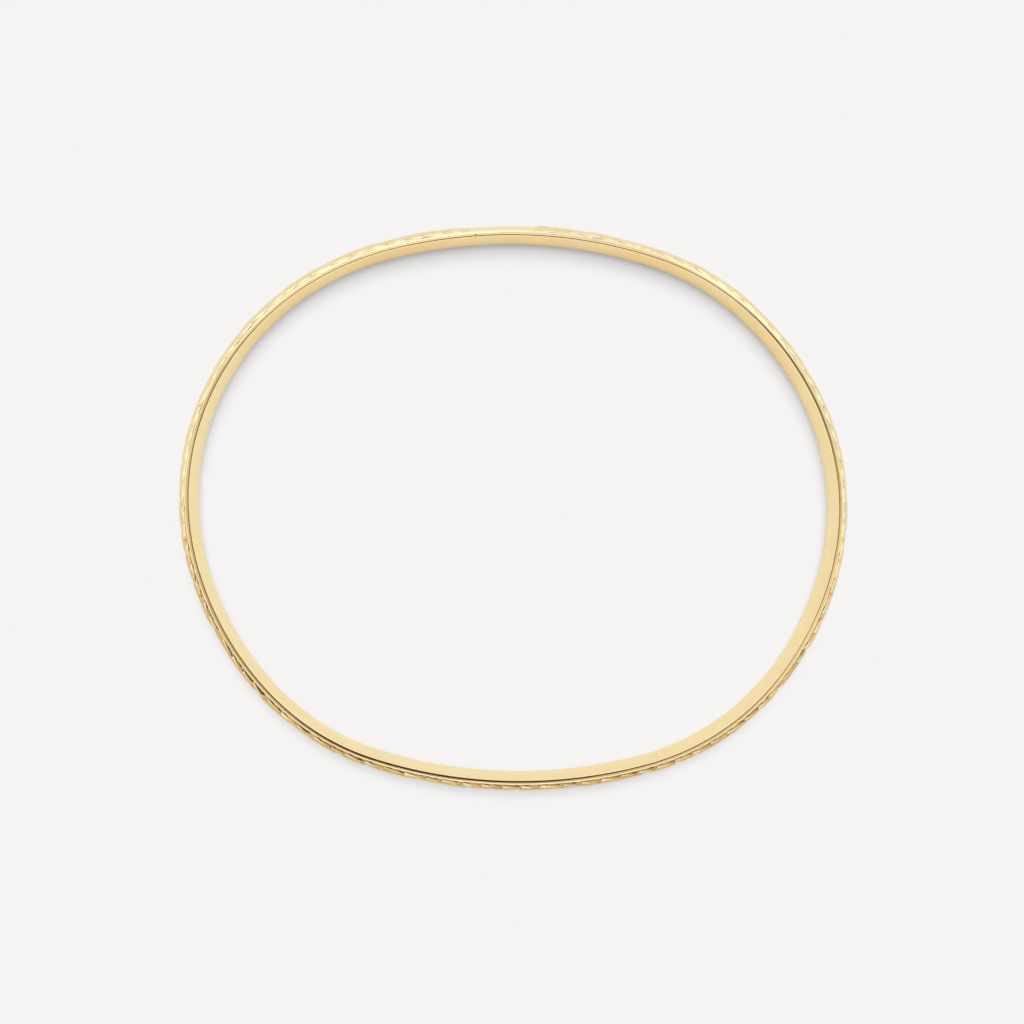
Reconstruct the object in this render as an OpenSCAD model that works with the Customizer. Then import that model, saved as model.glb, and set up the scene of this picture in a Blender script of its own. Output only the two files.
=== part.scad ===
// Closed oval slip-on bangle: a polished liner, two polished edge wires, an engraved band
// and the plain plate that bridges the two ends of the band.
// Millimetres. The bangle lies flat, its long axis along X, its axis along Z,
// and the origin is the centre of the opening, on the surface that it rests on.

/* [Opening] */
// Inner length, along the long axis
inner_length = 65.56; // [61.96:0.12:73.96]
// Inner width, along the short axis
inner_width = 55; // [49.96:0.12:60.04]

/* [Section] */
// Height of the bangle, along its axis
bangle_height = 4; // [3.6:0.1:6]
// Thickness from the inner wall to the crown of the engraved band
bangle_thickness = 1.5; // [1.3:0.05:2]
// Wall thickness of the liner
liner_thickness = 0.3; // [0.25:0.05:0.4]
// Corner rounding along the liner's two edges
liner_rounding = 0.08; // [0.04:0.01:0.1]
// How far each edge wire sits back from the edge of the liner
wire_setback = 0.12; // [0.05:0.01:0.2]
// Height of an edge wire
wire_height = 0.38; // [0.3:0.01:0.5]
// How far an edge wire stands out from the liner
wire_width = 0.24; // [0.15:0.01:0.3]

/* [Joint plate] */
// Direction of the plain plate from the centre of the opening, from +X
plate_angle = 93; // [80:1:100]
// Length of the plain plate
plate_length = 6.8; // [4:0.1:10]
// How far the plate's crown lies below the crown of the band
plate_drop = 0.1; // [0:0.01:0.2]

/* [Hidden] */
$fn = 96;

gold = [0.93, 0.80, 0.50];
bright_gold = [0.97, 0.88, 0.62];
deep_gold = [0.86, 0.70, 0.40];

// Four-centred oval. The round ends are centred at (+-end_centre, 0) and the flatter
// sides at (0, +-side_centre). Those two centres and the origin make a 7-24-25 triangle,
// so each pair of arcs meets with a shared tangent at the points +-join x a radius.
oval_unit = (inner_length - inner_width) / 12;
end_centre = 7 * oval_unit;
side_centre = 24 * oval_unit;
end_radius = inner_width / 2 - oval_unit;
side_radius = end_radius + 25 * oval_unit;
join = [7, 24] / 25;
join_angle = atan2(24, 7);

// Section: heights where the band and its wires meet, and the circle of the dome
shoulder = wire_setback + wire_height;
band_height = bangle_height - 2 * shoulder;
foot_width = liner_thickness + wire_width;
crown_rise = bangle_thickness - foot_width;
dome_radius = (band_height * band_height / 4 + crown_rise * crown_rise) / (2 * crown_rise);
wire_radius = wire_width * 1.1;
reach = 2 * bangle_thickness;

// Point where the outward normal has the direction a, out from the inner wall by out
function oval_point(a, out) = abs(cos(a)) > cos(join_angle)
    ? [sign(cos(a)) * end_centre + (end_radius + out) * cos(a), (end_radius + out) * sin(a)]
    : [(side_radius + out) * cos(a), (side_radius + out) * sin(a) - sign(sin(a)) * side_centre];

// One arc of the ring: the section turned at a radius, kept between two join directions
module ring_arc(radius, from, to) {
    far = 2 * radius;
    intersection() {
        rotate([0, 0, 180])
            rotate_extrude()
                translate([radius, 0])
                    children();
        translate([0, 0, -1])
            linear_extrude(bangle_height + 2)
                polygon([[0, 0], far * from, far * (from + to), far * to]);
    }
}

// Sweeps a section round the oval: x is the distance out from the inner wall, y is height
module oval_sweep() {
    for (side = [1, -1]) {
        translate([side * end_centre, 0, 0])
            ring_arc(end_radius, side * [join.x, -join.y], side * join)
                children();
        translate([0, -side * side_centre, 0])
            ring_arc(side_radius, side * join, side * [-join.x, join.y])
                children();
    }
}

// Corner points of a quarter round, from the angle a on
function corner(x, y, a) = [for (i = [0:3]) [x, y] + liner_rounding * [cos(a + 30 * i), sin(a + 30 * i)]];

module liner_section() {
    near = liner_rounding;
    far = liner_thickness - liner_rounding;
    top = bangle_height - liner_rounding;
    polygon(concat(corner(near, near, 180), corner(far, near, 270), corner(far, top, 0), corner(near, top, 90)));
}

// Quarter-round bead in the corner between the liner and the band, its flat side down
module wire_section() {
    intersection() {
        square([wire_width, wire_height]);
        translate([wire_width - wire_radius, wire_height - wire_radius])
            circle(wire_radius);
    }
}

// Dome on a short upright foot, lowered by drop at its crown
module band_section(drop) {
    translate([liner_thickness, shoulder])
        square([wire_width, band_height]);
    intersection() {
        translate([foot_width, shoulder])
            square([crown_rise, band_height]);
        translate([bangle_thickness - drop - dome_radius, bangle_height / 2])
            circle(dome_radius);
    }
}

// Block that takes in the stretch of the ring where the joint plate lies
module plate_block() {
    translate(concat(oval_point(plate_angle, liner_thickness), 0))
        rotate([0, 0, plate_angle])
            translate([-reach / 2, -plate_length / 2, -1])
                cube([2 * reach, plate_length, bangle_height + 2]);
}

module inner_liner() {
    color(gold)
        oval_sweep()
            liner_section();
}

module upper_edge_wire() {
    color(bright_gold)
        oval_sweep()
            translate([liner_thickness, bangle_height - shoulder])
                wire_section();
}

module lower_edge_wire() {
    color(bright_gold)
        oval_sweep()
            translate([liner_thickness, shoulder])
                mirror([0, 1])
                    wire_section();
}

module engraved_band() {
    color(deep_gold)
        difference() {
            oval_sweep()
                band_section(0);
            plate_block();
        }
}

module joint_plate() {
    color(gold)
        intersection() {
            oval_sweep()
                band_section(plate_drop);
            plate_block();
        }
}

inner_liner();
upper_edge_wire();
lower_edge_wire();
engraved_band();
joint_plate();
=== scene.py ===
"""Looks of a closed oval slip-on bangle in yellow gold: a polished liner, two polished edge
wires, an engraved band and a plain joint plate. Every piece is a section swept round the same
four-centred oval as its CAD node. Sections, lengths along the ring and the camera's places are
in millimetres until MM turns them into metres, and named directions are in degrees."""

import math

import bmesh
import bpy
import numpy as np
from mathutils import Matrix, Vector


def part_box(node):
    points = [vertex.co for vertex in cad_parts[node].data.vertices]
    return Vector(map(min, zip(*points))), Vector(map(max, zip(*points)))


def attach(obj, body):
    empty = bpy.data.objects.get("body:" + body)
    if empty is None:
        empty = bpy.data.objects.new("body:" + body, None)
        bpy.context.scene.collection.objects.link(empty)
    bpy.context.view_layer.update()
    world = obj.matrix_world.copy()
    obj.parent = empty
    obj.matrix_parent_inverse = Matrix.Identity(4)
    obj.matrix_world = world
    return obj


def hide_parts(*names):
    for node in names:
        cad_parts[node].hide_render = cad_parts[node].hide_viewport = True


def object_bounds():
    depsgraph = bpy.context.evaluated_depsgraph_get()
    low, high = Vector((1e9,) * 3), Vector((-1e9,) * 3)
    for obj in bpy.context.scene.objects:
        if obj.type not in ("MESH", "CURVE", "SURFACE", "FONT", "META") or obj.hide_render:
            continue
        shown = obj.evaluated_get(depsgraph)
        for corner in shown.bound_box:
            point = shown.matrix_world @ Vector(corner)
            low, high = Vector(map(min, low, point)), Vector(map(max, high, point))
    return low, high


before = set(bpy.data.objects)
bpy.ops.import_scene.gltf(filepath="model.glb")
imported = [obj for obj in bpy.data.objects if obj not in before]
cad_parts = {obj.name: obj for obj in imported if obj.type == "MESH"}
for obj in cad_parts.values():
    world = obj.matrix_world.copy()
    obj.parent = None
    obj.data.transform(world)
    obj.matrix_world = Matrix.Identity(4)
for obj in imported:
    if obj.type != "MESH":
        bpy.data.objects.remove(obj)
cad_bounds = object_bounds()

MM = 0.001
rng = np.random.default_rng(1898)


def node_box(node):
    """A CAD node's lowest and highest corners in millimetres."""
    low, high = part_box(node)
    return np.array(low) / MM, np.array(high) / MM


# ---------------------------------------------------------------- sizes, from the frame
liner_low, liner_high = node_box("inner_liner")
wire_low, wire_high = node_box("upper_edge_wire")
band_low, band_high = node_box("engraved_band")
plate_low, plate_high = node_box("joint_plate")

LINER_THICKNESS = 0.3
bangle_height = liner_high[2] - liner_low[2]
middle = bangle_height / 2
inner_length = liner_high[0] - liner_low[0] - 2 * LINER_THICKNESS
inner_width = liner_high[1] - liner_low[1] - 2 * LINER_THICKNESS

# How far the wires, the band's crown and the plate's crown stand out from the inner wall
wire_out = wire_high[0] - inner_length / 2
band_out = band_high[0] - inner_length / 2
plate_out = plate_high[1] - inner_width / 2

# The oval's four arcs, as in the CAD model: their centres make 7-24-25 triangles
oval_unit = (inner_length - inner_width) / 12
end_centre = 7 * oval_unit
side_centre = 24 * oval_unit
end_radius = inner_width / 2 - oval_unit
side_radius = end_radius + 25 * oval_unit
join_angle = math.atan2(24, 7)

# The band's dome: its radius, half its angle, and the distance from its crown to its edge
band_height = band_high[2] - band_low[2]
crown_rise = band_out - wire_out
dome_radius = (band_height**2 / 4 + crown_rise**2) / (2 * crown_rise)
dome_half_angle = math.asin(band_height / 2 / dome_radius)
dome_reach = dome_radius * dome_half_angle


# ---------------------------------------------------------------- curves
def ease(share):
    """Smooth step from 0 to 1."""
    share = np.clip(share, 0, 1)
    return share * share * (3 - 2 * share)


def bell(value, centre, width):
    """1 at the centre, falling smoothly to both sides."""
    return np.exp(-(((value - centre) / width) ** 2))


# ---------------------------------------------------------------- the oval
# Bends that hand forming has left: how many waves go round the ring, their size and direction
HAND_WAVES = ((2, 0.071, -95), (3, 0.088, 114), (4, 0.088, -58), (5, 0.048, 81), (6, 0.050, 45))
FINE_STEPS = 14400


def on_end_arc(turn):
    """True where an outward direction belongs to one of the two round ends."""
    return np.abs(np.cos(turn)) > math.cos(join_angle)


def hand_bend(turn):
    """How far hand forming has moved the ring out of its true oval."""
    return sum(
        size * np.cos(count * turn - math.radians(phase)) for count, size, phase in HAND_WAVES
    )


def oval_base(turn):
    """Points of the inner wall whose outward normal has the direction turn."""
    end = on_end_arc(turn)
    radius = np.where(end, end_radius, side_radius) + hand_bend(turn)
    x = radius * np.cos(turn) + np.where(end, np.sign(np.cos(turn)) * end_centre, 0)
    y = radius * np.sin(turn) - np.where(end, 0, np.sign(np.sin(turn)) * side_centre)
    return x, y


fine_turn = np.linspace(0, 2 * math.pi, FINE_STEPS + 1)
fine_radius = np.where(on_end_arc(fine_turn[:-1]), end_radius, side_radius) + band_out
fine_length = np.concatenate([[0], np.cumsum(fine_radius * np.diff(fine_turn))])
ring_length = fine_length[-1]


def turn_at(length):
    """The outward direction at a length along the crown, counterclockwise from +X."""
    return np.interp(np.mod(length, ring_length), fine_length, fine_turn)


def length_at(turn):
    """The length along the crown at an outward direction."""
    return float(np.interp(turn, fine_turn, fine_length))


# Where the joint plate starts and ends: its box gives its ends along X
plate_start = length_at(math.acos(plate_high[0] / (side_radius + plate_out)))
plate_end = length_at(math.acos(plate_low[0] / (side_radius + plate_out)))

# The wearer's side, which also faces the light: the bangle is worn smooth round this direction
# and crisp opposite it, and its colour is painted paler and less stained there, as lit. Wear
# starts where facing gives WEAR_START, and is full where it gives WEAR_SPREAD more than that.
LIT_WORN_SIDE = 88
WEAR_START = -0.6
WEAR_SPREAD = 0.7


def facing(length, side):
    """How far the ring faces a side at each length, as a column: 1 there and -1 opposite it."""
    return np.cos(turn_at(length) - math.radians(side))[:, None]


def wear_and_light_at(length):
    """How smooth, and how far painted as lit, the ring is at each length, as a column from 0 to 1.
    """
    return ease((facing(length, LIT_WORN_SIDE) - WEAR_START) / WEAR_SPREAD)


def from_ends(length):
    """Distance of each length from the nearer of the first and the last, as a column."""
    return np.minimum(length - length[0], length[-1] - length)[:, None]


def smooth_noise(length, wave, size):
    """Seeded smooth variation along the ring, the same at both ends of it."""
    count = round(ring_length / wave)
    knots = rng.normal(0, size, count)
    place = np.mod(length, ring_length) / ring_length * count
    left = np.floor(place).astype(int)
    share = ease(place - left)
    return knots[left % count] * (1 - share) + knots[(left + 1) % count] * share


# ---------------------------------------------------------------- meshes
SHARP_ANGLE = 60


def ring_faces(quads, rows, columns, closed):
    """Corners of each quad, and of a cap at each end of an open ring."""
    row, column = quads[:, 0], quads[:, 1]
    next_row = (row + 1) % rows
    next_column = (column + 1) % columns
    faces = np.stack([
        row * columns + column,
        next_row * columns + column,
        next_row * columns + next_column,
        row * columns + next_column,
    ], 1).tolist()
    if not closed:
        faces.append(list(range(columns)))
        faces.append(list(range((rows - 1) * columns, rows * columns))[::-1])
    return faces


def set_flow(mesh, along, across, quads):
    """UV map named flow, in millimetres: along the ring, and round its section."""
    flow = mesh.uv_layers.new(name="flow")
    values = np.zeros((len(mesh.loops), 2), np.float32)
    for corner, (step, side) in enumerate(((0, 0), (1, 0), (1, 1), (0, 1))):
        values[corner : 4 * len(quads) : 4, 0] = along[quads[:, 0] + step]
        values[corner : 4 * len(quads) : 4, 1] = across[quads[:, 1] + side]
    flow.data.foreach_set("uv", values.ravel())


def face_outwards(mesh):
    """Turns every face's normal outwards."""
    shape = bmesh.new()
    shape.from_mesh(mesh)
    bmesh.ops.recalc_face_normals(shape, faces=shape.faces)
    shape.to_mesh(mesh)
    shape.free()


def make_ring(name, length, out, height, closed, **shades):
    """Sweeps a section round the oval. out and height hold one row of section points for each
    length along the ring; shades are named values from 0 to 1 for the material to read."""
    turn = turn_at(length)
    base_x, base_y = oval_base(turn)
    x = base_x[:, None] + out * np.cos(turn)[:, None]
    y = base_y[:, None] + out * np.sin(turn)[:, None]
    points = np.stack([x, y, height], -1).reshape(-1, 3) * MM
    rows, columns = out.shape
    spans = rows if closed else rows - 1
    quads = np.stack(np.meshgrid(range(spans), range(columns), indexing="ij"), -1).reshape(-1, 2)
    mesh = bpy.data.meshes.new(name)
    mesh.from_pydata(points.tolist(), [], ring_faces(quads, rows, columns, closed))
    step = np.hypot(*(np.roll(part[0], -1) - part[0] for part in (out, height)))
    across = np.concatenate([[0], np.cumsum(step)])
    along = np.concatenate([length, [length[0] + ring_length]])
    set_flow(mesh, along, across, quads)
    for shade, values in shades.items():
        layer = mesh.attributes.new(shade, "FLOAT", "POINT")
        layer.data.foreach_set("value", values.astype(np.float32).ravel())
    face_outwards(mesh)
    mesh.shade_smooth()
    mesh.set_sharp_from_angle(angle=math.radians(SHARP_ANGLE))
    piece = bpy.data.objects.new(name, mesh)
    bpy.context.scene.collection.objects.link(piece)
    return piece


def finish_piece(piece, node, material, shadow=False):
    """Gives a piece its material, parents it to the root body and hides the CAD node that it
    stands for. Only the band, its plate and the lower wire shade the floor, and no piece tints it,
    so it stays clean."""
    piece.data.materials.append(material)
    piece.visible_diffuse = False
    piece.visible_shadow = shadow
    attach(piece, "root")
    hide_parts(node)


def arc(centre, radius, start, end, count):
    """Points of a circular arc in the section plane, angles in degrees."""
    angle = np.radians(np.linspace(start, end, count))
    return np.array(centre) + radius * np.stack([np.cos(angle), np.sin(angle)], -1)


def repeat_section(section, length):
    """One row of section points for each length: distances out, and heights."""
    out = np.repeat(section[None, :, 0], len(length), 0)
    height = np.repeat(section[None, :, 1], len(length), 0)
    return out, height


def edge_shade(section, corners, reach):
    """1 at the listed corners of the section, falling to 0 within reach."""
    away = np.min([np.hypot(*(section - corner).T) for corner in corners], 0)
    return np.clip(1 - away / reach, 0, 1)


# ---------------------------------------------------------------- liner
RING_ROWS = 1440

# The liner's section: its roundings, their points and those of the wall between them, and how
# steeply and over what height its two edges slope down to the outside
INNER_ROUNDING = 0.09
OUTER_ROUNDING = 0.04
INNER_POINTS = 9
OUTER_POINTS = 5
WALL_POINTS = 10
EDGE_SLOPE = math.tan(math.radians(7))
SLOPED_HEIGHT = 0.4

# Handwork in the liner, each as a wave's length and its size: the wall swells, its upper and
# lower halves sway apart, and its edges lean. The wall is true this near to its edges.
WALL_SWELL = (9, 0.006)
WALL_SWAY = (5, 0.004)
EDGE_LEAN = (11, 0.022)
WALL_MARGIN = 0.3

# Points of the section less than this far out are on the inner face, which is satin. Away from
# the lit side a painted reflection makes it palest at its foot; it would stop being pale at this
# height.
INNER_FACE = 0.02
PALE_HEIGHT = 9

# How far wear spreads from the liner's two lips, and painted shade from a gap between two pieces
LIP_WEAR = 0.2
CREVICE_SHADE_REACH = 0.09

# The nick in the liner's upper lip, beside the joint plate, and the rows round it
NICK_ROWS = 24
NICK_REACH = 0.6
NICK_CLEARANCE = 0.05
NICK_WIDTH = 0.12
NICK_DEPTH = 0.14
nick_place = plate_end - 0.65


def ring_lengths():
    """Rows of the liner and wires, closer together round the nick beside the joint."""
    even = np.linspace(0, ring_length, RING_ROWS + 1)[:-1]
    fine = nick_place + np.linspace(-NICK_REACH, NICK_REACH, NICK_ROWS)
    far = np.abs(even - nick_place) > NICK_REACH + NICK_CLEARANCE
    return np.sort(np.concatenate([even[far], fine]))


def liner_section():
    """Upright wall with rounded edges, as distance out and height, counterclockwise."""
    near, far = INNER_ROUNDING, LINER_THICKNESS - OUTER_ROUNDING
    wall = np.linspace(bangle_height - near, near, WALL_POINTS + 2)[1:-1]
    inner_wall = np.stack([np.zeros_like(wall), wall], -1)
    return np.concatenate([
        inner_wall,
        arc((near, near), INNER_ROUNDING, 180, 270, INNER_POINTS),
        arc((far, OUTER_ROUNDING), OUTER_ROUNDING, 270, 360, OUTER_POINTS),
        arc((far, bangle_height - OUTER_ROUNDING), OUTER_ROUNDING, 0, 90, OUTER_POINTS),
        arc((near, bangle_height - near), INNER_ROUNDING, 90, 180, INNER_POINTS),
    ])


def slope_edges(out, height, lean):
    """Lowers the liner's two edges towards the outside, as a file leaves them."""
    drop = np.clip(out - INNER_ROUNDING, 0, None) * (EDGE_SLOPE + lean[:, None])
    from_middle = np.abs(height - middle)
    share = np.clip((from_middle - middle + SLOPED_HEIGHT) / SLOPED_HEIGHT, 0, 1)
    return height - np.sign(height - middle) * drop * share


def inner_liner(material):
    """Polished liner: a satin inner wall with a faint hand-finished waviness, painted paler at its
    foot away from the lit side as a reflection, and one nick."""
    section = liner_section()
    length = ring_lengths()
    out, height = repeat_section(section, length)
    inner_face = section[:, 0] < INNER_FACE
    on_wall = inner_face & (np.abs(section[:, 1] - middle) < middle - WALL_MARGIN)
    side = (section[:, 1] - middle) / middle
    swell = smooth_noise(length, *WALL_SWELL)[:, None]
    swell = swell + smooth_noise(length, *WALL_SWAY)[:, None] * side
    out[:, on_wall] += swell[:, on_wall]
    height = slope_edges(out, height, smooth_noise(length, *EDGE_LEAN))
    nick = bell(length, nick_place, NICK_WIDTH)[:, None] * bell(section[:, 0], 0, NICK_DEPTH)
    nick = nick * bell(section[:, 1], bangle_height, NICK_DEPTH)
    height -= NICK_DEPTH * nick
    lips = [(0, bangle_height), (0, 0)]
    # Painted reflection: the inner face is paler at its foot away from the side facing the light
    pale = (1 - section[:, 1] / PALE_HEIGHT) * inner_face * (1 - ease(facing(length, LIT_WORN_SIDE)))
    worn = np.maximum(edge_shade(section, lips, LIP_WEAR), pale)
    # Painted shade in the gaps beside the wires, and the nick darkened
    shaded_gaps = [(LINER_THICKNESS, wire_high[2]), (LINER_THICKNESS, bangle_height - wire_high[2])]
    deep = np.maximum(edge_shade(section, shaded_gaps, CREVICE_SHADE_REACH), nick)
    satin = np.repeat(inner_face[None], len(length), 0)
    piece = make_ring("liner", length, out, height, True, worn=worn, deep=deep, satin=satin)
    finish_piece(piece, "inner_liner", material)


# ---------------------------------------------------------------- edge wires
# The upper wire's section: a ledge that slopes outward, in degrees, from just below its top to
# a rounded shoulder, a hair gap beside the liner, and a foot that is drawn in a little
LEDGE_SLOPE = 20
LEDGE_DROP = 0.01
LEDGE_POINTS = 3
WIRE_ROUNDING = 0.09
SHOULDER_POINTS = 8
GAP_DEPTH = 0.07
GAP_WIDTH = 0.02
GAP_LIP = 0.025
FOOT_DRAWN_IN = 0.01

# Handwork in the wires, each as a wave's length and its size: points clear of the liner sway
# in and out, and points clear of the band sway up and down, but rise by no more than this
WIRE_SWELL = (4, 0.006)
WIRE_RISE = (6, 0.006)
HIGHEST_RISE = 0.008
CLEAR_OF_LINER = 0.03
CLEAR_OF_BAND = 0.1

# Wear and a painted highlight on the ledge: how far in from the wire's outer side their middle
# lies, and how far they spread. Then how far below the wire's top the middle of the painted shade
# in the gap lies.
LEDGE_MIDDLE = 0.12
LEDGE_WEAR_AND_HIGHLIGHT = 0.3
GAP_SHADE_MIDDLE = 0.03


def wire_section():
    """Edge wire with a ledge that slopes outward and a rounded shoulder, for the upper edge."""
    inner, outer = LINER_THICKNESS, wire_out
    low, high = wire_low[2], wire_high[2]
    slope = math.radians(LEDGE_SLOPE)
    centre_out = outer - WIRE_ROUNDING
    drop = (centre_out - inner) * math.tan(slope) + WIRE_ROUNDING * (1 / math.cos(slope) - 1)
    centre = (centre_out, high - drop - WIRE_ROUNDING)
    shoulder = arc(centre, WIRE_ROUNDING, 90 - LEDGE_SLOPE, 0, SHOULDER_POINTS)
    ledge_out = np.linspace(inner, shoulder[0, 0], LEDGE_POINTS + 2)[1:-1]
    ledge_ends = [high - LEDGE_DROP, shoulder[0, 1]]
    ledge_high = np.interp(ledge_out, [inner, shoulder[0, 0]], ledge_ends)
    return np.concatenate([
        [(inner, low), (inner, high - GAP_DEPTH), (inner + GAP_WIDTH, high - GAP_LIP)],
        np.stack([ledge_out, ledge_high], -1),
        shoulder,
        [(outer, (low + centre[1]) / 2), (outer - FOOT_DRAWN_IN, low)],
    ])


def edge_wire(name, node, upper, material):
    """Polished wire along one edge, between the liner and the band."""
    section = wire_section()
    length = ring_lengths()
    out, height = repeat_section(section, length)
    off_liner = section[:, 0] > LINER_THICKNESS + CLEAR_OF_LINER
    out[:, off_liner] += smooth_noise(length, *WIRE_SWELL)[:, None]
    off_band = section[:, 1] > wire_low[2] + CLEAR_OF_BAND
    rise = np.minimum(smooth_noise(length, *WIRE_RISE), HIGHEST_RISE)
    height[:, off_band] += rise[:, None]
    if not upper:
        height = bangle_height - height
    # Wear and a painted highlight make the ledge paler
    ledge = [(wire_out - LEDGE_MIDDLE, wire_high[2])]
    worn = np.repeat(edge_shade(section, ledge, LEDGE_WEAR_AND_HIGHLIGHT)[None], len(length), 0)
    # Painted shade in the gaps beside the liner and the band
    shaded_gaps = [(LINER_THICKNESS, wire_high[2] - GAP_SHADE_MIDDLE), (wire_out, wire_low[2])]
    deep = np.repeat(edge_shade(section, shaded_gaps, CREVICE_SHADE_REACH)[None], len(length), 0)
    piece = make_ring(name, length, out, height, True, worn=worn, deep=deep)
    finish_piece(piece, node, material, shadow=not upper)


# ---------------------------------------------------------------- the engraving
# Lengths along the ring and across the dome, in millimetres. Across is 0 on the crown. RIM is
# just inside the dome's edge, and the leaves and cuts begin this far from the band's two ends.
RIM = dome_reach - 0.1
BAND_MARGIN = 0.5

# The sunken ground behind the leaves: how far from the crown it starts, the widths of its two
# slopes, its depth and its stain
GROUND_START = 0.5
GROUND_INNER_SLOPE = 0.35
GROUND_OUTER_SLOPE = 0.1
GROUND_DEPTH = 0.09
GROUND_STAIN = 0.5

# Leaves: their spacing and size, how far in from the rim the heel's spine starts, how far from
# the crown the tip is, how the spine bends, how quickly heel and tip close, how much lower the
# tip is, how flat the pillow is, and half the width of a point
LEAF_PITCH = 2.03
LEAF_LENGTH = 2.1
LEAF_HALF_WIDTH = 0.30
LEAF_RISE = 0.13
LEAF_HEEL = 0.27
LEAF_TIP = 0.98
LEAF_BEND = 1.3
LEAF_BLUNTNESS = 0.06
LEAF_TAPER = 0.55
LEAF_FALL = 0.35
LEAF_FLATNESS = 0.7
NARROWEST = 0.01

# How much the leaves vary in place, length, size and lean, and the range of their glints
PLACE_VARIES = 0.15
LENGTH_VARIES = 0.11
SIZE_VARIES = 0.16
LEAN_VARIES = 0.35
BRIGHTNESS = (0.2, 1.5)

# The vein's depth as a share of the leaf's rise. Then the centre and width of the vein across
# the leaf, and of the glint across it and along it, as shares of its half width and length.
VEIN_DEPTH = 0.25
VEIN_ACROSS = (-0.15, 0.16)
GLINT_ACROSS = (-0.3, 0.4)
GLINT_ALONG = (0.28, 0.22)

# Stain on a leaf: all over, towards its tip, at its edges and in its vein
LEAF_STAIN = 0.08
TIP_STAIN = 0.4
EDGE_STAIN = 0.5
VEIN_STAIN = 0.3

# Every cut: how its ends taper, half the width of its points, how much further than its own
# half width its rows go, and how soon its stain is full, coming from its ends and its sides
CUT_TAPER = 0.6
CUT_POINT = 0.005
CUT_MARGIN = 0.1
STAIN_FROM_ENDS = 1.6
STAIN_FROM_SIDES = 1.5

# Places round a leaf: a share of its length, millimetres more, and the distance in from the rim.
# The wedge between a leaf's tip and the rim is as deep as half its width, which varies.
WEDGE_START = (0.4, 0, 0.03)
WEDGE_END = (1, 0, 0.36)
WEDGE_SIZE = 0.14
WEDGE_VARIES = (0.6, 1.4)
WEDGE_PEAK = 0.65

# The cuts across a leaf's heel, along its crown side and along the rim: the places of both
# ends, half the width, the depth, the peak and the stain
LEAF_CUTS = (
    ((0, 0.02, 0), (0, -0.1, 0.6), 0.09, 0.1, 0.35, 1),
    ((0, 0, 0.5), (1, 0, RIM - 0.88), 0.08, 0.07, 0.3, 0.7),
    ((0, 0.1, 0.01), (0.5, 0, 0.08), 0.05, 0.05, 0.5, 1),
)

# The lens-shaped mark beside most leaves: the share of them that has it, where it starts as a
# share of the leaf's length, how far from the crown it lies, how much both places vary, its
# lean, its least and greatest length, and half its width, which is also its depth
MARK_SHARE = 0.8
MARK_ALONG = 0.45
MARK_ACROSS = 1.02
MARK_VARIES = 0.1
MARK_LEAN = 0.1
MARK_LENGTH = (0.55, 1.1)
MARK_SIZE = 0.17

# The punched dot at some leaves' tips: the share of them that has it, its place and size, how
# much stain it holds, and how many times its radius its hollow and its stain reach
DOT_SHARE = 0.35
DOT_PLACE = (0.97, 0, 0.3)
DOT_RADIUS = 0.11
DOT_DEPTH = 0.14
DOT_STAIN = 5
DOT_EDGE = 1.35
DOT_STAIN_EDGE = 1.5

# Wide shallow scoops out of the crown's sides, with a fine stained line along each
SCOOP_PITCH = 2.7
SCOOP_MARGIN = 1.4
SCOOP_ACROSS = 0.45
SCOOP_HALF_LENGTH = 0.6
SCOOP_HALF_WIDTH = 0.9
SCOOP_DEPTH = 0.19
SCOOP_DEPTH_VARIES = 0.015
SCOOP_VARIES = 0.08
SCOOP_STAIN = 0.3
LINE_HALF_WIDTH = 0.17
LINE_DEPTH = 0.08
LINE_STAIN = 1.3

# Seeds lying along the crown, and how much they and the scoops vary in place
SEED_PITCH = 5.4
SEED_FIRST = 2.7
SEED_LAST = 2.0
SEED_HALF_LENGTH = 1.3
SEED_HALF_WIDTH = 0.42
SEED_RISE = 0.05
CROWN_VARIES = 0.2


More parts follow.
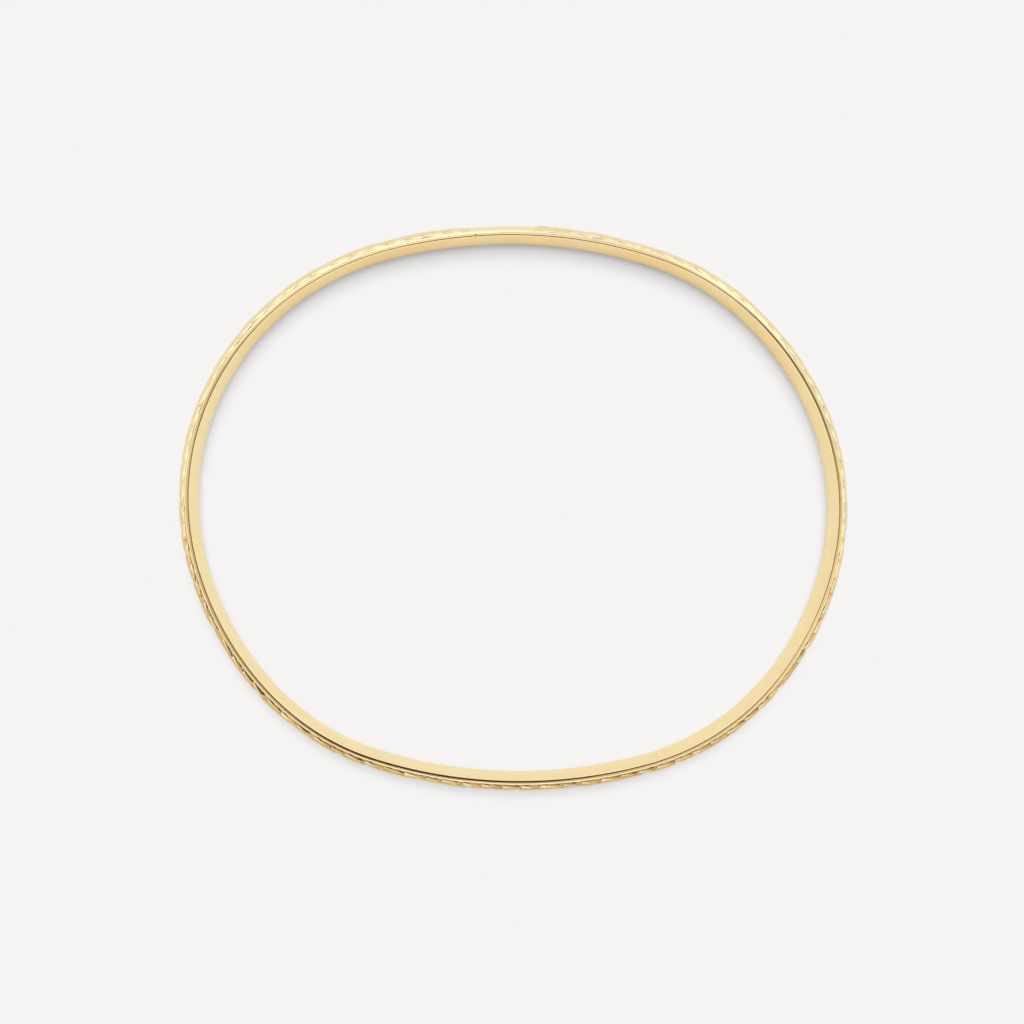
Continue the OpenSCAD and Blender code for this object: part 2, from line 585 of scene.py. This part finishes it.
class Relief:
    """Height of the engraved surface over the plain dome, on the band's grid of points, how
    much stain lies in it, and where a painted glint makes it paler."""

    def __init__(self, length, across):
        self.length = length
        self.across = across
        self.field = np.zeros((len(length), len(across)))
        self.stain = np.zeros_like(self.field)
        self.shine = np.zeros_like(self.field)

    def rows(self, start, end):
        """The rows between two lengths, with their lengths as a column."""
        first, last = np.searchsorted(self.length, (start, end))
        rows = slice(int(first), int(last))
        return rows, self.length[rows, None]

    def lay_ground(self):
        """Sinks the ground behind both rows of leaves, out to the dome's edges."""
        away = np.abs(self.across)
        ground = ease((away - GROUND_START) / GROUND_INNER_SLOPE)
        ground = ground * ease((dome_reach - away) / GROUND_OUTER_SLOPE)
        self.field -= GROUND_DEPTH * ground
        self.stain += GROUND_STAIN * ground

    def raise_leaf(self, start, reach, side, size, lean, bright):
        """One leaf with a vein: blunt against the rim, slanting to the crown, where it ends in
        a tip, with a glint near its heel."""
        rows, length = self.rows(start, start + reach)
        share = (length - start) / reach
        heel = RIM - LEAF_HEEL * size
        spine = heel + (LEAF_TIP - heel) * share**LEAF_BEND
        half = LEAF_HALF_WIDTH * size * np.minimum(1, share / LEAF_BLUNTNESS) ** 0.5
        half = half * (1 - share) ** LEAF_TAPER
        place = (self.across * side - spine) / np.maximum(half, NARROWEST)
        pillow = np.sqrt(np.clip(1 - place**2, 0, 1))
        inside = pillow > 0
        vein = VEIN_DEPTH * bell(place, *VEIN_ACROSS) * (1 - share)
        rise = LEAF_RISE * size * (1 - LEAF_FALL * share) * (1 + lean * place)
        leaf = -GROUND_DEPTH + rise * (pillow**LEAF_FLATNESS - vein)
        self.field[rows] = np.where(inside, np.maximum(self.field[rows], leaf), self.field[rows])
        stain = LEAF_STAIN + TIP_STAIN * share**1.5
        stain = stain + EDGE_STAIN * (1 - pillow) ** 2 + VEIN_STAIN * vein
        self.stain[rows] = np.where(inside, np.minimum(self.stain[rows], stain), self.stain[rows])
        glint = bell(place, *GLINT_ACROSS) * bell(share, *GLINT_ALONG)
        self.shine[rows] = np.where(inside, bright * glint, self.shine[rows])

    def raise_seed(self, centre):
        """A pointed seed lying along the crown."""
        rows, length = self.rows(centre - SEED_HALF_LENGTH, centre + SEED_HALF_LENGTH)
        share = (length - centre) / SEED_HALF_LENGTH
        place = self.across / (SEED_HALF_WIDTH * (1 - share**2) + NARROWEST)
        self.field[rows] += SEED_RISE * np.sqrt(np.clip(1 - place**2, 0, 1))

    def cut(self, start, end, half_width, depth, peak=0.5, stain=1):
        """One graver cut from point to point, V-shaped, widest at its peak from 0 to 1, with
        stain along its middle."""
        margin = half_width + CUT_MARGIN
        rows, length = self.rows(min(start[0], end[0]) - margin, max(start[0], end[0]) + margin)
        line = np.array(end) - np.array(start)
        reach = np.hypot(*line)
        along = ((length - start[0]) * line[0] + (self.across - start[1]) * line[1]) / reach
        beside = ((length - start[0]) * line[1] - (self.across - start[1]) * line[0]) / reach
        share = np.clip(along / reach, 0, 1)
        swell = np.where(share < peak, share / peak, (1 - share) / (1 - peak)) ** CUT_TAPER
        away = np.abs(beside) / (half_width * swell + CUT_POINT)
        self.field[rows] -= depth * swell * np.clip(1 - away, 0, 1)
        shade = stain * np.minimum(1, STAIN_FROM_ENDS * swell)
        shade = shade * np.clip(STAIN_FROM_SIDES * (1 - away), 0, 1)
        self.stain[rows] = np.maximum(self.stain[rows], shade)

    def punch(self, place, spot):
        """One round punch mark."""
        rows, length = self.rows(place - 3 * DOT_RADIUS, place + 3 * DOT_RADIUS)
        away = np.hypot(length - place, self.across - spot) / DOT_RADIUS
        self.field[rows] -= DOT_DEPTH * ease(DOT_EDGE - away)
        shade = DOT_STAIN * ease(DOT_STAIN_EDGE - away)
        self.stain[rows] = np.maximum(self.stain[rows], shade)


def raise_leaves(relief, start, end):
    """Raises two mirrored rows of leaves, half a pitch apart, and returns the place, length and
    side of each."""
    count = round((end - start - LEAF_LENGTH) / LEAF_PITCH)
    pitch = (end - start - LEAF_LENGTH) / count
    leaves = []
    for side in (1, -1):
        offset = 0 if side > 0 else pitch / 2
        for number in range(count):
            place = start + offset + number * pitch + rng.normal(0, PLACE_VARIES)
            reach = LEAF_LENGTH * (1 + rng.normal(0, LENGTH_VARIES))
            size = 1 + rng.normal(0, SIZE_VARIES)
            lean = rng.normal(0, LEAN_VARIES)
            relief.raise_leaf(place, reach, side, size, lean, rng.uniform(*BRIGHTNESS))
            leaves.append((place, reach, side))
    return leaves


def cut_round_leaf(relief, place, reach, side):
    """A wedge and three cuts round one leaf, beside most a lens-shaped mark, and at some tips a
    punched dot."""

    def spot(share, more, from_rim):
        return place + share * reach + more, side * (RIM - from_rim)

    wedge = WEDGE_SIZE * rng.uniform(*WEDGE_VARIES)
    relief.cut(spot(*WEDGE_START), spot(*WEDGE_END), wedge, wedge, WEDGE_PEAK)
    for start, end, half_width, depth, peak, stain in LEAF_CUTS:
        relief.cut(spot(*start), spot(*end), half_width, depth, peak, stain)
    if rng.random() < MARK_SHARE:
        first = place + MARK_ALONG * reach + rng.normal(0, MARK_VARIES)
        across = MARK_ACROSS + rng.normal(0, MARK_VARIES)
        last = first + rng.uniform(*MARK_LENGTH)
        mark_start = (first, side * (across + MARK_LEAN))
        mark_end = (last, side * (across - MARK_LEAN))
        relief.cut(mark_start, mark_end, MARK_SIZE, MARK_SIZE)
    if rng.random() < DOT_SHARE:
        relief.punch(*spot(*DOT_PLACE))


def cut_scoop(relief, place):
    """A wide shallow scoop out of one side of the crown, with a fine stained line along it."""
    centre = place + rng.normal(0, CROWN_VARIES)
    lean = rng.normal(0, SCOOP_VARIES)
    across = rng.choice((-1, 1)) * SCOOP_ACROSS
    half = SCOOP_HALF_LENGTH + rng.normal(0, SCOOP_VARIES)
    first = (centre - half, across + lean)
    last = (centre + half, across - lean)
    depth = SCOOP_DEPTH + rng.normal(0, SCOOP_DEPTH_VARIES)
    relief.cut(first, last, SCOOP_HALF_WIDTH, depth, stain=SCOOP_STAIN)
    relief.cut(first, last, LINE_HALF_WIDTH, LINE_DEPTH, stain=LINE_STAIN)


def engrave(length, across):
    """Two mirrored rows of leaves with cuts round them, and scoops and seeds along the crown.
    Places and sizes vary a little, as handwork does."""
    relief = Relief(length, across)
    relief.lay_ground()
    start, end = length[0] + BAND_MARGIN, length[-1] - BAND_MARGIN
    for leaf in raise_leaves(relief, start, end):
        cut_round_leaf(relief, *leaf)
    for place in np.arange(start + SCOOP_MARGIN, end - SCOOP_MARGIN, SCOOP_PITCH):
        cut_scoop(relief, place)
    for place in np.arange(start + SEED_FIRST, end - SEED_LAST, SEED_PITCH):
        relief.raise_seed(place + rng.normal(0, CROWN_VARIES))
    return relief


# ---------------------------------------------------------------- band and plate
# The band's grid: its points are closer together beyond this far from the crown
BAND_ROWS = 1640
LEAF_ZONE_POINTS = 22
CROWN_POINTS = 14
CROWN_REACH = 0.82

# The dome's feet reach this far behind the wires' outer side. Its points in the section come
# after the flat back's two and one foot, and before the other foot.
FOOT_LAP = 0.03
DOME = slice(3, -1)

# The fine gap along the dome's two edges: its depth and width
RIM_CREVICE = 0.09
RIM_GAP = 0.16

# Handwork in the band, each as a wave's length and its size, and how low and high it may go
BAND_WAVERS = ((1.6, 0.028), (7, 0.018))
LOWEST_WAVER = -0.07
HIGHEST_WAVER = 0.03

# Over how much of the band's ends the engraving fades, and over how much they are filed down.
# Then how far the surface may lie below the plain dome and above it.
END_FADE = 0.8
END_FILED = 1.6
DEEPEST = 0.28
PROUDEST = 0.04

# The shares that full wear takes of the relief, of its stain, which is painted lighter as lit,
# and of how pale its high parts are
WEAR_FADES = 0.8
LIT_STAIN_FADES = 0.8
PALE_FADES = 0.75

# How pale the band is unworn, how much paler it is painted on the worn side, which faces the
# light, and the relief's height at which it is palest
BAND_PALE = 0.25
BAND_LIT_WORN_PALE = 0.7
PALE_RISE = 0.1

# Painted shade: stain is thicker by this share round this direction, the side away from the
# light, and as much thinner opposite it
SHADED_SIDE = 268
SHADED_SIDE_STAIN = 0.35

# The bead of solder: how far it lies from the band's second end, its length, its centre and
# width across the dome, its height and its stain
BEAD_PLACE = 0.6
BEAD_LENGTH = 0.5
BEAD_ACROSS = (0.4, 0.5)
BEAD_RISE = 0.13
BEAD_STAIN = 0.3

# The plate: its grid, its handwork as a wave's length and its size, the seam at each of its
# ends, and how strongly painted shade darkens its gaps to the wires
PLATE_ROWS = 110
PLATE_POINTS = 30
PLATE_WAVER = (2.2, 0.006)
SEAM_WIDTH = 0.1
SEAM_DEPTH = 0.02
SEAM_STAIN = 0.35
PLATE_GAP_SHADE = 1.8


def dome_angles():
    """Directions of the dome's points from its centre, closest together where the leaves are."""
    leaves = np.linspace(CROWN_REACH / dome_radius, dome_half_angle, LEAF_ZONE_POINTS)
    crown = np.linspace(-leaves[0], leaves[0], CROWN_POINTS)
    return np.concatenate([-leaves[::-1], crown[1:-1], leaves])


def dome_section(angles, crown):
    """Closed section with a flat back, two feet, and a dome whose crown is this far out."""
    dome_out = crown - dome_radius + dome_radius * np.cos(angles)
    dome_high = middle + dome_radius * np.sin(angles)
    low, high = band_low[2], band_high[2]
    foot = wire_out - FOOT_LAP
    out = np.concatenate([[LINER_THICKNESS, LINER_THICKNESS, foot], dome_out, [foot]])
    height = np.concatenate([[high, low, low], dome_high, [high]])
    return np.stack([out, height], -1)


def make_dome(name, length, angles, crown, lift, worn, deep):
    """Sweeps the dome section with its surface lifted by lift, and returns the piece."""
    out, height = repeat_section(dome_section(angles, crown), length)
    out[:, DOME] += lift * np.cos(angles)
    height[:, DOME] += lift * np.sin(angles)
    shades = {}
    for shade, values, rest in (("worn", worn, 0), ("deep", deep, 1)):
        shades[shade] = np.full_like(out, rest)
        shades[shade][:, DOME] = values
    return make_ring(name, length, out, height, False, **shades)


def crevice(across):
    """The fine gap between the dome's edge and the wire beside it, from 0 to 1."""
    return ease((np.abs(across) - dome_reach + RIM_GAP) / RIM_GAP)


def band_lift(length, across, relief, wear_and_light):
    """How far the band's surface stands over the plain dome, without the bead of solder."""
    waver = sum(smooth_noise(length, *wave) for wave in BAND_WAVERS)
    waver = np.clip(waver, LOWEST_WAVER, HIGHEST_WAVER)[:, None]
    lift = relief.field * (1 - WEAR_FADES * wear_and_light) + waver
    lift = lift * (1 - crevice(across)) * ease(from_ends(length) / END_FADE)
    lift -= (band_out - plate_out) * (1 - ease(from_ends(length) / END_FILED))
    return np.clip(lift, -DEEPEST, PROUDEST) - RIM_CREVICE * crevice(across)


def engraved_band(material):
    """Domed band, engraved all over, and filed down to the joint plate at its two ends, with a
    small proud bead of solder at the second of them."""
    length = np.linspace(plate_end, plate_start + ring_length, BAND_ROWS)
    angles = dome_angles()
    across = angles * dome_radius
    relief = engrave(length, across)
    wear_and_light = wear_and_light_at(length)
    bead = bell(length[:, None], length[-1] - BEAD_PLACE, BEAD_LENGTH) * bell(across, *BEAD_ACROSS)
    lift = band_lift(length, across, relief, wear_and_light) + BEAD_RISE * bead
    # Painted shade: stain is darker on the side away from the light and lighter on the lit side
    side_shade = (1 + SHADED_SIDE_STAIN * facing(length, SHADED_SIDE)) * (1 - LIT_STAIN_FADES * wear_and_light)
    deep = np.clip(relief.stain * side_shade * ease(from_ends(length) / END_FADE), 0, 1)
    # Painted shade in the fine gaps along the dome's edges
    deep = np.maximum(deep, np.maximum(crevice(across), BEAD_STAIN * bead))
    # Painted light: paler on the side facing the light, and painted highlights where leaves glint
    worn = BAND_PALE + BAND_LIT_WORN_PALE * wear_and_light + relief.shine * (1 - wear_and_light)
    worn = np.clip(worn + relief.field / PALE_RISE * (1 - PALE_FADES * wear_and_light), 0, 1)
    piece = make_dome("engraved_band_relief", length, angles, band_out, lift, worn, deep)
    finish_piece(piece, "engraved_band", material, shadow=True)


def joint_plate(material):
    """Plain plate over the joint, filed smooth, with a hair-fine seam at each end."""
    length = np.linspace(plate_start, plate_end, PLATE_ROWS)
    angles = np.linspace(-dome_half_angle, dome_half_angle, PLATE_POINTS)
    gap = crevice(angles * dome_radius)
    seam = 1 - ease(from_ends(length) / SEAM_WIDTH)
    lift = smooth_noise(length, *PLATE_WAVER)[:, None] - SEAM_DEPTH * seam - RIM_CREVICE * gap
    worn = np.ones_like(lift)
    # Painted shade in the gaps to the wires; the seams are darker
    deep = np.maximum(SEAM_STAIN * seam, np.clip(PLATE_GAP_SHADE * gap, 0, 1))
    piece = make_dome("plain_joint_plate", length, angles, plate_out, lift, worn, deep)
    finish_piece(piece, "joint_plate", material, shadow=True)


# ---------------------------------------------------------------- materials
def mix_colours(tree, share, first, second):
    """Mixes two colours in a node tree, each a tuple or a socket. A Mix node's colours are its
    inputs 6 and 7, and its output 2."""
    node = tree.nodes.new("ShaderNodeMix")
    node.data_type = "RGBA"
    tree.links.new(share, node.inputs["Factor"])
    for socket, source in ((node.inputs[6], first), (node.inputs[7], second)):
        if isinstance(source, tuple):
            socket.default_value = (*source, 1)
        else:
            tree.links.new(source, socket)
    return node.outputs[2]


class Nodes:
    """Short forms for building one material's node tree."""

    def __init__(self, name):
        self.material = bpy.data.materials.new(name)
        self.material.use_nodes = True
        self.tree = self.material.node_tree
        self.shader = self.tree.nodes["Principled BSDF"]

    def link(self, source, target):
        """Joins two sockets."""
        self.tree.links.new(source, target)

    def flow(self, along, across):
        """The ring's own coordinates, scaled along it and across it."""
        uv = self.tree.nodes.new("ShaderNodeUVMap")
        uv.uv_map = "flow"
        mapping = self.tree.nodes.new("ShaderNodeMapping")
        mapping.inputs["Scale"].default_value = (along, across, 1)
        self.link(uv.outputs["UV"], mapping.inputs["Vector"])
        return mapping.outputs["Vector"]

    def place(self):
        """The coordinates of the object."""
        return self.tree.nodes.new("ShaderNodeTexCoord").outputs["Object"]

    def noise(self, vector, scale=1, detail=3, roughness=0.5):
        """Soft noise, from 0 to 1."""
        node = self.tree.nodes.new("ShaderNodeTexNoise")
        node.inputs["Scale"].default_value = scale
        node.inputs["Detail"].default_value = detail
        node.inputs["Roughness"].default_value = roughness
        self.link(vector, node.inputs["Vector"])
        return node.outputs["Fac"]

    def value(self, name):
        """One of the shades that make_ring gives a mesh, and 0 on a mesh without it."""
        node = self.tree.nodes.new("ShaderNodeAttribute")
        node.attribute_name = name
        return node.outputs["Fac"]

    def spread(self, source, low, high, to_low, to_high):
        """Maps source from low..high to to_low..to_high."""
        node = self.tree.nodes.new("ShaderNodeMapRange")
        node.inputs["From Min"].default_value = low
        node.inputs["From Max"].default_value = high
        node.inputs["To Min"].default_value = to_low
        node.inputs["To Max"].default_value = to_high
        self.link(source, node.inputs["Value"])
        return node.outputs["Result"]

    def math(self, kind, first, second):
        """Adds or multiplies two values, each a number or a socket."""
        node = self.tree.nodes.new("ShaderNodeMath")
        node.operation = kind
        for socket, source in zip(node.inputs, (first, second)):
            if isinstance(source, (int, float)):
                socket.default_value = source
            else:
                self.link(source, socket)
        return node.outputs["Value"]

    def mix(self, share, first, second):
        """Mixes two colours, each a tuple or a socket."""
        return mix_colours(self.tree, share, first, second)

    def bump(self, height, strength, normal=None):
        """The fine unevenness of a height, on top of another normal if there is one."""
        node = self.tree.nodes.new("ShaderNodeBump")
        node.inputs["Strength"].default_value = strength
        node.inputs["Distance"].default_value = BUMP_DISTANCE * MM
        self.link(height, node.inputs["Height"])
        if normal is not None:
            self.link(normal, node.inputs["Normal"])
        return node.outputs["Normal"]


# Each gold's main tone, its warmer drift, its pale tone for wear and painted highlights, and its
# dark tone for stain in its recesses and for painted shade
POLISHED_TONES = (
    (0.96, 0.78, 0.43),
    (0.95, 0.735, 0.37),
    (0.95, 0.86, 0.57),
    (0.36, 0.17, 0.035),
)
ENGRAVED_TONES = (
    (0.91, 0.705, 0.31),
    (0.895, 0.65, 0.25),
    (0.95, 0.88, 0.61),
    (0.34, 0.15, 0.025),
)
EDGE_TINT = (1.0, 0.985, 0.94, 1)

# Roughness of smooth and of scratched metal, and how much stain and painted shade, wear and
# painted highlights, and satin each add
SMOOTH = 0.07
SCRATCHED = 0.15
STAIN_AND_SHADE_ROUGHNESS = 0.16
WEAR_AND_HIGHLIGHT_ROUGHNESS = 0.05
SATIN_ROUGHNESS = 0.5

# Patterns, each as its scales along the ring and across it. Stain, wear and the painted shade
# and highlights that go with them are patchy: the least share of them that a patch leaves.
WEAR_AND_HIGHLIGHT_PATCHES = (1.2, 3)
STAIN_AND_SHADE_PATCHES = (1.5, 1.5)
LEAST_WEAR_AND_HIGHLIGHT = 0.5
LEAST_STAIN_AND_SHADE = 0.6
POLISHING_LINES = (0.9, 18)
LINE_ROUGHNESS = 0.6
SMUDGES = (0.35, 1.1)
GRAIN = (9, 9)

# The colour drift's scale in metres of the object, and the bumps' height in millimetres
DRIFT_SCALE = 90
BUMP_DISTANCE = 0.002

# The range of the noise's values that each kind of pattern stretches
NOISE_RANGE = (0.3, 0.7)
DRIFT_RANGE = (0.35, 0.65)
LINE_RANGE = (0.45, 0.75)


def patchy(nodes, source, scales, least):
    """A value that varies in patches, between a least share of itself and all of it."""
    patches = nodes.noise(nodes.flow(*scales))
    return nodes.math("MULTIPLY", source, nodes.spread(patches, *NOISE_RANGE, least, 1))


def gold_colour(nodes, tones, worn, deep):
    """Two drifting tones, paler for rubbing and painted light, darker for stain and painted shade.
    """
    main, warm, pale, stain = tones
    drift = nodes.noise(nodes.place(), DRIFT_SCALE, 2)
    colour = nodes.mix(nodes.spread(drift, *DRIFT_RANGE, 0, 1), main, warm)
    colour = nodes.mix(worn, colour, pale)
    return nodes.mix(patchy(nodes, deep, STAIN_AND_SHADE_PATCHES, LEAST_STAIN_AND_SHADE), colour, stain)


def gold_roughness(nodes, lines, worn, deep):
    """Smudges and polishing lines, duller under stain, rubbing, painted light and shade, and
    satin.
    """
    smudge = nodes.noise(nodes.flow(*SMUDGES))
    base = nodes.spread(smudge, *NOISE_RANGE, SMOOTH, (SMOOTH + SCRATCHED) / 2)
    streaks = nodes.spread(lines, *LINE_RANGE, 0, SCRATCHED - SMOOTH)
    roughness = nodes.math("ADD", base, streaks)
    satin = nodes.value("satin")
    duller = ((deep, STAIN_AND_SHADE_ROUGHNESS), (worn, WEAR_AND_HIGHLIGHT_ROUGHNESS), (satin, SATIN_ROUGHNESS))
    for source, amount in duller:
        roughness = nodes.math("ADD", roughness, nodes.math("MULTIPLY", source, amount))
    return roughness


def gold(name, tones, scratch):
    """Yellow gold with colour drift, fine polishing scratches along the ring, paler where rubbed
    and where light and highlights are painted, a darker, duller tone in whatever is cut below the
    surface and where shade is painted, and duller where satin."""
    nodes = Nodes(name)
    worn = patchy(nodes, nodes.value("worn"), WEAR_AND_HIGHLIGHT_PATCHES, LEAST_WEAR_AND_HIGHLIGHT)
    deep = nodes.value("deep")
    lines = nodes.noise(nodes.flow(*POLISHING_LINES), roughness=LINE_ROUGHNESS)
    nodes.link(gold_colour(nodes, tones, worn, deep), nodes.shader.inputs["Base Color"])
    nodes.link(gold_roughness(nodes, lines, worn, deep), nodes.shader.inputs["Roughness"])
    normal = nodes.bump(lines, scratch)
    normal = nodes.bump(nodes.noise(nodes.flow(*GRAIN)), scratch, normal)
    nodes.link(normal, nodes.shader.inputs["Normal"])
    nodes.shader.inputs["Metallic"].default_value = 1
    nodes.shader.inputs["Specular Tint"].default_value = EDGE_TINT
    return nodes.material


# ---------------------------------------------------------------- stage and light
# The floor: its size in metres, its colour, and the scale and dimness of its fibres
FLOOR_SIZE = 4
FLOOR_COLOUR = (0.860, 0.849, 0.835)
FIBRE_SCALE = 300
FIBRE_DIM = 0.995

# Lamps that light the floor: azimuth, elevation and width in degrees, strength and colour.
# The metal doesn't reflect them: it reflects the sky, where the soft boxes are drawn.
LAMPS = {
    "top_light": (90, 86, 24, 1.410, (0.99, 0.995, 1.0)),
    "back_light": (90, 70, 36, 1.508, (1.0, 0.995, 0.985)),
    "dome_light": (0, 90, 150, 0.55, (0.99, 0.995, 1.0)),
}
HORIZON = (0.913, 0.905, 0.887)

# A low ring of soft light all round: where it starts, is brightest and ends, in degrees
STRIP_LOW = 6
STRIP_MIDDLE = 17
STRIP_HIGH = 28
STRIP_COLOUR = (1.6, 1.56, 1.48)

# Patches of sky, each laid over those before it: azimuth and elevation of the middle, radius
# of the even part, radius at which it has faded out, all in degrees, and the colour
SKY = {
    "cool_side": (90, 40, 10, 38, (0.97, 1.0, 1.10)),
    "left_box": (104, 37, 6, 17, (1.66, 1.61, 1.64)),
    "far_left_box": (130, 37, 6, 17, (1.66, 1.61, 1.64)),
    "right_box": (50, 37, 5, 15, (1.74, 1.69, 1.72)),
    "front_box": (270, 37, 8, 20, (1.08, 1.12, 1.2)),
    "camera_rim": (0, 90, 24, 34, (1.0, 0.86, 0.62)),
    "camera": (0, 90, 18, 24, (0.07, 0.04, 0.02)),
    "right_rail": (309, 62, 4, 14, (0.45, 0.33, 0.2)),
    "camera_stand": (259, 64, 10, 23, (0.08, 0.025, 0.005)),
    "left_stand": (208, 62, 4, 17, (0.36, 0.23, 0.11)),
    "right_stand": (8, 62, 4, 15, (0.42, 0.31, 0.19)),
    "left_rail": (160, 62, 3, 12, (0.40, 0.28, 0.16)),
    "lamp_clamp": (30, 62, 3, 9, (0.10, 0.06, 0.03)),
}


def direction(azimuth, elevation):
    """Unit vector towards a place in the sky, angles in degrees."""
    turn, rise = math.radians(azimuth), math.radians(elevation)
    level = math.cos(rise)
    return Vector((level * math.cos(turn), level * math.sin(turn), math.sin(rise)))


def make_floor():
    """Matt pale paper."""
    paper = Nodes("floor_paper")
    noise = paper.noise(paper.place(), FIBRE_SCALE, 2)
    fibre = paper.spread(noise, *NOISE_RANGE, 0, 1)
    dim = tuple(FIBRE_DIM * part for part in FLOOR_COLOUR)
    paper.link(paper.mix(fibre, FLOOR_COLOUR, dim), paper.shader.inputs["Base Color"])
    paper.shader.inputs["Roughness"].default_value = 1
    paper.shader.inputs["Specular IOR Level"].default_value = 0
    bpy.ops.mesh.primitive_plane_add(size=FLOOR_SIZE, location=(0, 0, cad_bounds[0][2]))
    floor = bpy.context.object
    floor.name = "floor"
    floor.data.materials.append(paper.material)


def smooth_share(tree, source, start, end):
    """A smooth step of source: 0 at start and 1 at end."""
    share = tree.nodes.new("ShaderNodeMapRange")
    share.interpolation_type = "SMOOTHSTEP"
    share.inputs["From Min"].default_value = start
    share.inputs["From Max"].default_value = end
    tree.links.new(source, share.inputs["Value"])
    return share.outputs["Result"]


def sky_patch(tree, place, below, azimuth, elevation, inner, outer, colour):
    """Lays one soft round patch of colour over the sky that is below it."""
    dot = tree.nodes.new("ShaderNodeVectorMath")
    dot.operation = "DOT_PRODUCT"
    dot.inputs[1].default_value = direction(azimuth, elevation)
    tree.links.new(place, dot.inputs[0])
    start, end = math.cos(math.radians(outer)), math.cos(math.radians(inner))
    share = smooth_share(tree, dot.outputs["Value"], start, end)
    return mix_colours(tree, share, below, colour)


def light_strip(tree, place, below):
    """Lays the low ring of soft light over the sky that is below it."""
    height = tree.nodes.new("ShaderNodeSeparateXYZ")
    tree.links.new(place, height.inputs[0])
    share = tree.nodes.new("ShaderNodeMath")
    share.operation = "MULTIPLY"
    brightest = math.sin(math.radians(STRIP_MIDDLE))
    for edge, socket in zip((STRIP_LOW, STRIP_HIGH), share.inputs):
        side = smooth_share(tree, height.outputs["Z"], math.sin(math.radians(edge)), brightest)
        tree.links.new(side, socket)
    return mix_colours(tree, share.outputs["Value"], below, STRIP_COLOUR)


def make_world():
    """A pale studio for the metal to reflect: a low ring of soft light, a cool side, four soft
    boxes, and the dark camera overhead with its warm rim, its stands and rails, and a clamp."""
    world = bpy.data.worlds.new("studio")
    bpy.context.scene.world = world
    world.use_nodes = True
    tree = world.node_tree
    place = tree.nodes.new("ShaderNodeTexCoord").outputs["Generated"]
    base = tree.nodes.new("ShaderNodeRGB")
    base.outputs[0].default_value = (*HORIZON, 1)
    sky = light_strip(tree, place, base.outputs[0])
    for patch in SKY.values():
        sky = sky_patch(tree, place, sky, *patch)
    tree.links.new(sky, tree.nodes["Background"].inputs["Color"])
    world.cycles_visibility.diffuse = False


def make_lamps():
    """The lamps that light the floor and give it its soft shadow."""
    for name, (azimuth, elevation, width, strength, colour) in LAMPS.items():
        light = bpy.data.lights.new(name, "SUN")
        light.energy = strength
        light.angle = math.radians(width)
        light.color = colour
        lamp = bpy.data.objects.new(name, light)
        lamp.rotation_euler = direction(azimuth, elevation).to_track_quat("Z", "Y").to_euler()
        lamp.visible_glossy = False
        bpy.context.scene.collection.objects.link(lamp)


# ---------------------------------------------------------------- camera
# Where it is and what it looks at, its roll in degrees, its focal length in millimetres, and
# the nearest distance that it sees, in metres
CAMERA_SPOT = (-3.9, 0.68, 116.4)
CAMERA_AIM = (-0.36, -0.43, 0)
CAMERA_ROLL = 2.255
CAMERA_LENS = 39.13
CAMERA_NEAREST = 0.005


def make_camera():
    """Close above the bangle, nearly straight down, as the photograph was taken."""
    data = bpy.data.cameras.new("camera")
    data.lens = CAMERA_LENS
    data.clip_start = CAMERA_NEAREST
    camera = bpy.data.objects.new("camera", data)
    bpy.context.scene.collection.objects.link(camera)
    spot, aim = Vector(CAMERA_SPOT) * MM, Vector(CAMERA_AIM) * MM
    ahead = (aim - spot).normalized()
    roll = math.radians(CAMERA_ROLL)
    up = Vector((-math.sin(roll), math.cos(roll), 0))
    up = (up - ahead * up.dot(ahead)).normalized()
    axes = Matrix((ahead.cross(up), up, -ahead)).transposed()
    camera.matrix_world = Matrix.Translation(spot) @ axes.to_4x4()
    bpy.context.scene.camera = camera


make_camera()
make_floor()
make_world()
make_lamps()
bpy.context.scene.view_settings.view_transform = "Standard"

polished = gold("polished_gold", POLISHED_TONES, scratch=0.35)
engraved = gold("engraved_gold", ENGRAVED_TONES, scratch=0.6)
inner_liner(polished)
edge_wire("edge_wire_upper", "upper_edge_wire", True, polished)
edge_wire("edge_wire_lower", "lower_edge_wire", False, polished)
engraved_band(engraved)
joint_plate(polished)
